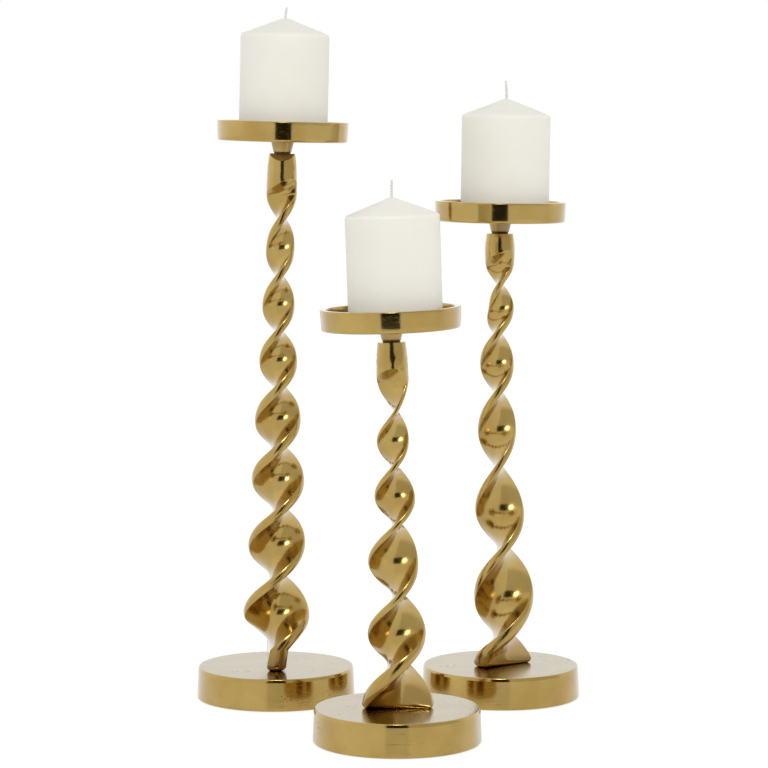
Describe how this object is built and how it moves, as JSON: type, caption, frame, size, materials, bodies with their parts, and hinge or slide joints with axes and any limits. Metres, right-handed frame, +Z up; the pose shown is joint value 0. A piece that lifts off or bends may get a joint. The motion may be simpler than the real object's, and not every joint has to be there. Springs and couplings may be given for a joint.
{
  "type": "spiral candle holder set",
  "caption": "Graduated set of twisted-bar pillar candle holders on round bases, each with a shallow dish and a pointed pillar candle.",
  "frame": {"origin": "on the table, under the middle of the tall holder's base", "axes": "+Z up; the set's front, the side the picture shows, faces -Y; +X to the right seen from the front"},
  "size_m": [0.3068, 0.3003, 0.5505],
  "materials": {
    "polished_gold": "cast aluminium, brass-coloured, polished bright with fine casting pits",
    "felt": "dark felt",
    "plated_steel": "zinc-plated steel screw",
    "wax": null,
    "wick": "waxed braided cotton"
  },
  "bodies": {
    "tall_holder": {"tall_base": "polished_gold", "tall_base_pad": "felt", "tall_base_bolt": "plated_steel", "tall_bolt_washer": "plated_steel", "tall_stem": "polished_gold"},
    "tall_stud": {"tall_dish_stud": "plated_steel"},
    "tall_dish": {"tall_dish": "polished_gold"},
    "tall_candle": {"tall_candle": "wax", "tall_wick": "wick"},
    "mid_holder": {"mid_base": "polished_gold", "mid_base_pad": "felt", "mid_base_bolt": "plated_steel", "mid_bolt_washer": "plated_steel", "mid_stem": "polished_gold"},
    "mid_stud": {"mid_dish_stud": "plated_steel"},
    "mid_dish": {"mid_dish": "polished_gold"},
    "mid_candle": {"mid_candle": "wax", "mid_wick": "wick"},
    "short_holder": {"short_base": "polished_gold", "short_base_pad": "felt", "short_base_bolt": "plated_steel", "short_bolt_washer": "plated_steel", "short_stem": "polished_gold"},
    "short_stud": {"short_dish_stud": "plated_steel"},
    "short_dish": {"short_dish": "polished_gold"},
    "short_candle": {"short_candle": "wax", "short_wick": "wick"}
  },
  "joints": [
    {"name": "tall_dish_turn", "type": "hinge", "parent": "tall_holder", "child": "tall_stud", "pos_m": [0.00638, 0, 0.4355], "axis": [0.0244, 0, 0.9997], "range_deg": [0, 2880]},
    {"name": "tall_dish_climb", "type": "slide", "parent": "tall_stud", "child": "tall_dish", "axis": [0.0244, 0, 0.9997], "range_m": [0, 0.01001]},
    {"name": "tall_candle_lift", "type": "slide", "parent": "tall_dish", "child": "tall_candle", "axis": [0.0244, 0, 0.9997], "range_m": [0, 0.06]},
    {"name": "mid_holder_lift", "type": "slide", "parent": "tall_holder", "child": "mid_holder", "axis": [0, 0, 1], "range_m": [0, 0.1]},
    {"name": "mid_dish_turn", "type": "hinge", "parent": "mid_holder", "child": "mid_stud", "pos_m": [0.17876, 0.0049, 0.3722], "axis": [0.014, 0, 0.9999], "range_deg": [0, 2880]},
    {"name": "mid_dish_climb", "type": "slide", "parent": "mid_stud", "child": "mid_dish", "axis": [0.014, 0, 0.9999], "range_m": [0, 0.01001]},
    {"name": "mid_candle_lift", "type": "slide", "parent": "mid_dish", "child": "mid_candle", "axis": [0.014, 0, 0.9999], "range_m": [0, 0.06]},
    {"name": "short_holder_lift", "type": "slide", "parent": "tall_holder", "child": "short_holder", "axis": [0, 0, 1], "range_m": [0, 0.1]},
    {"name": "short_dish_turn", "type": "hinge", "parent": "short_holder", "child": "short_stud", "pos_m": [0.0923, -0.1692, 0.2997], "axis": [-0.0332, 0, 0.9995], "range_deg": [0, 2880]},
    {"name": "short_dish_climb", "type": "slide", "parent": "short_stud", "child": "short_dish", "axis": [-0.0332, 0, 0.9995], "range_m": [0, 0.01001]},
    {"name": "short_candle_lift", "type": "slide", "parent": "short_dish", "child": "short_candle", "axis": [-0.0332, 0, 0.9995], "range_m": [0, 0.06]}
  ],
  "couplings": [
    {"joint": "tall_dish_climb", "follows": "tall_dish_turn", "m_per_rad": 0.00019894},
    {"joint": "mid_dish_climb", "follows": "mid_dish_turn", "m_per_rad": 0.00019894},
    {"joint": "short_dish_climb", "follows": "short_dish_turn", "m_per_rad": 0.00019894}
  ]
}
